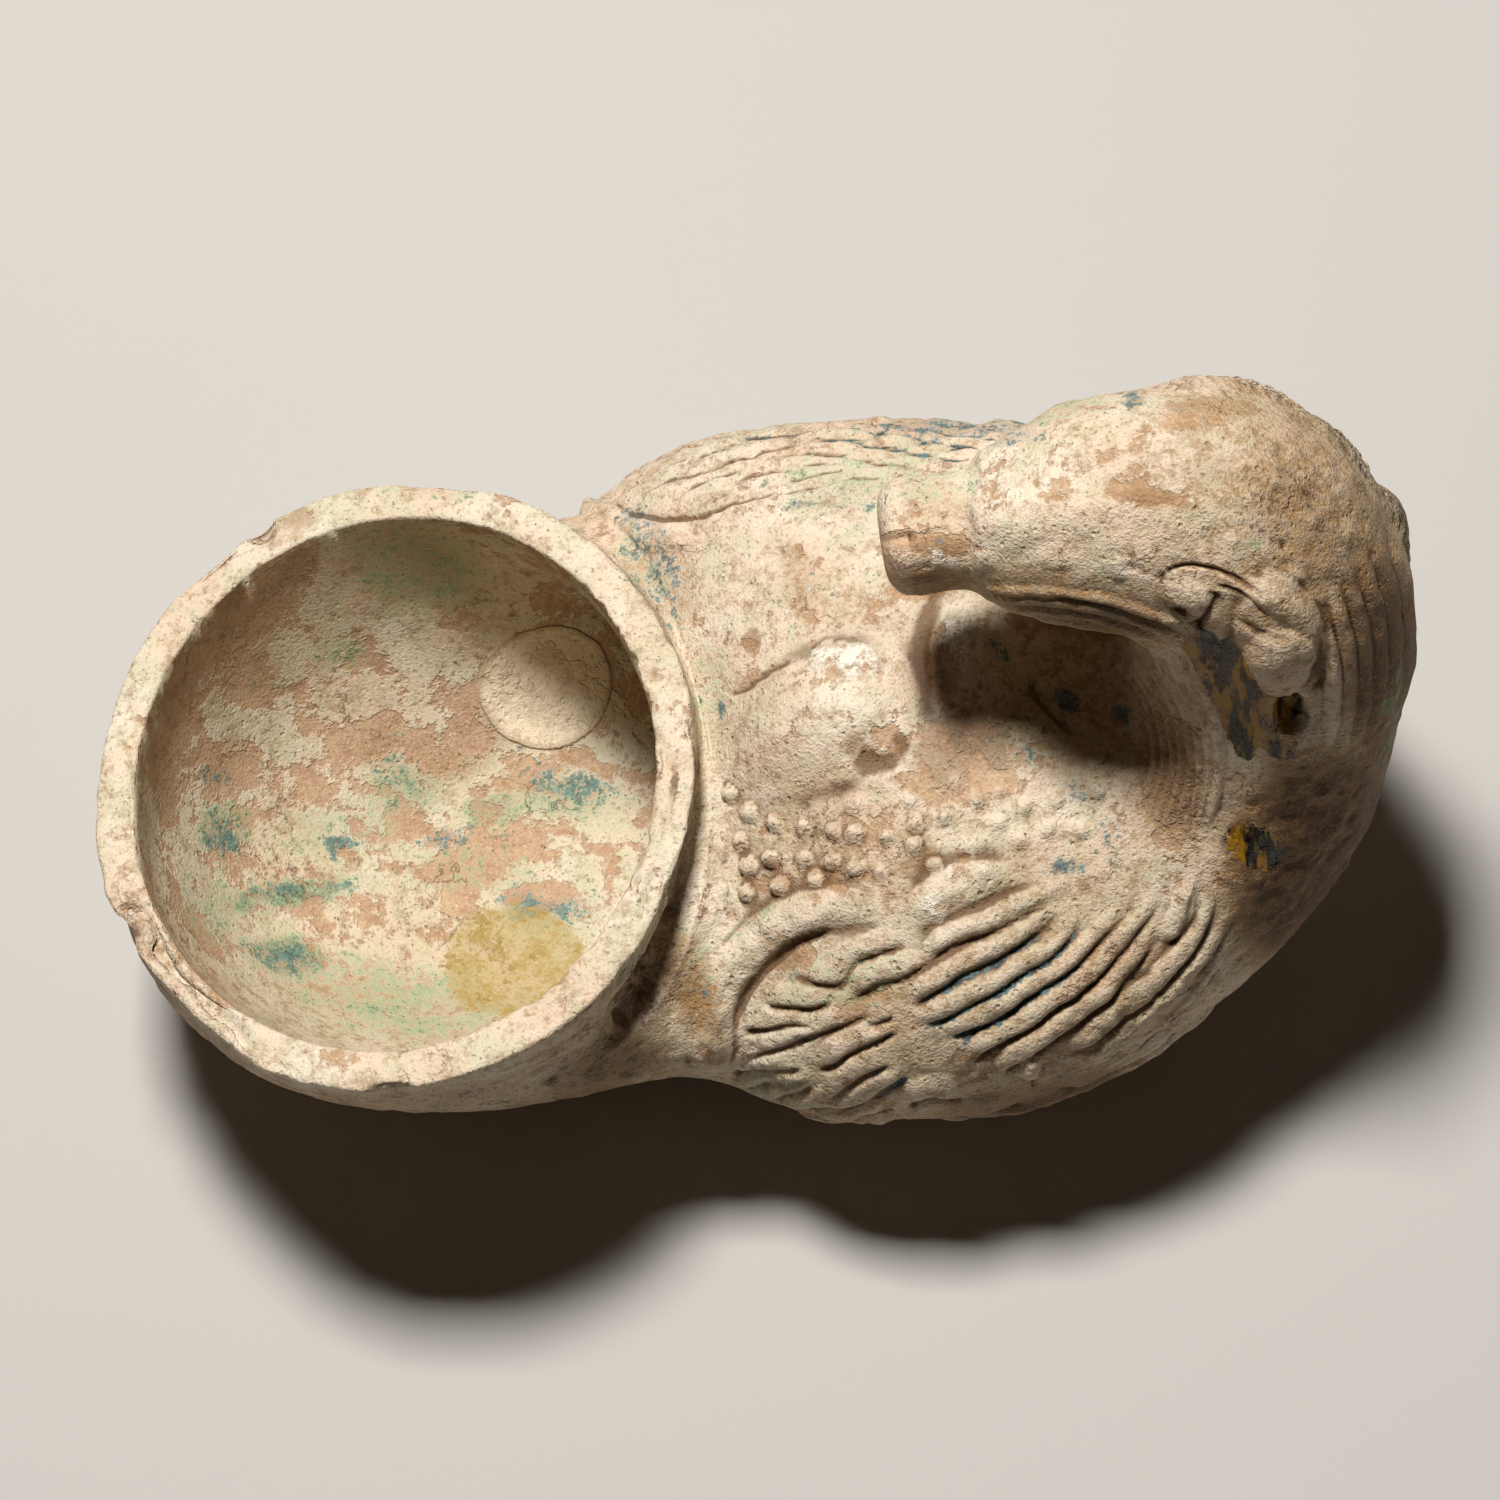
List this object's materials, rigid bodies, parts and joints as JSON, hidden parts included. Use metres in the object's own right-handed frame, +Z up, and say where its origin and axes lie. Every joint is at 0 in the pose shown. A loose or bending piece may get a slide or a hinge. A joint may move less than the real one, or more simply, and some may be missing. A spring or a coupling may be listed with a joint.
{
  "type": "rhyton cup",
  "caption": "Round-mouthed earthenware rhyton cup whose hollow body is a winged beast with its head turned back over its back.",
  "frame": {"origin": "middle of the bounding box's base, on the plane that the flat of the belly rests on", "axes": "+X runs the long way, from the mouth to the breast; +Y runs across, to the wing that is away from the viewer; +Z is up"},
  "size_m": [0.1292, 0.0742, 0.0828],
  "materials": {
    "glazed_earthenware": "worn, weathered lead glaze over rough buff clay"
  },
  "bodies": {
    "root": {"rhyton": "glazed_earthenware"}
  },
  "joints": []
}
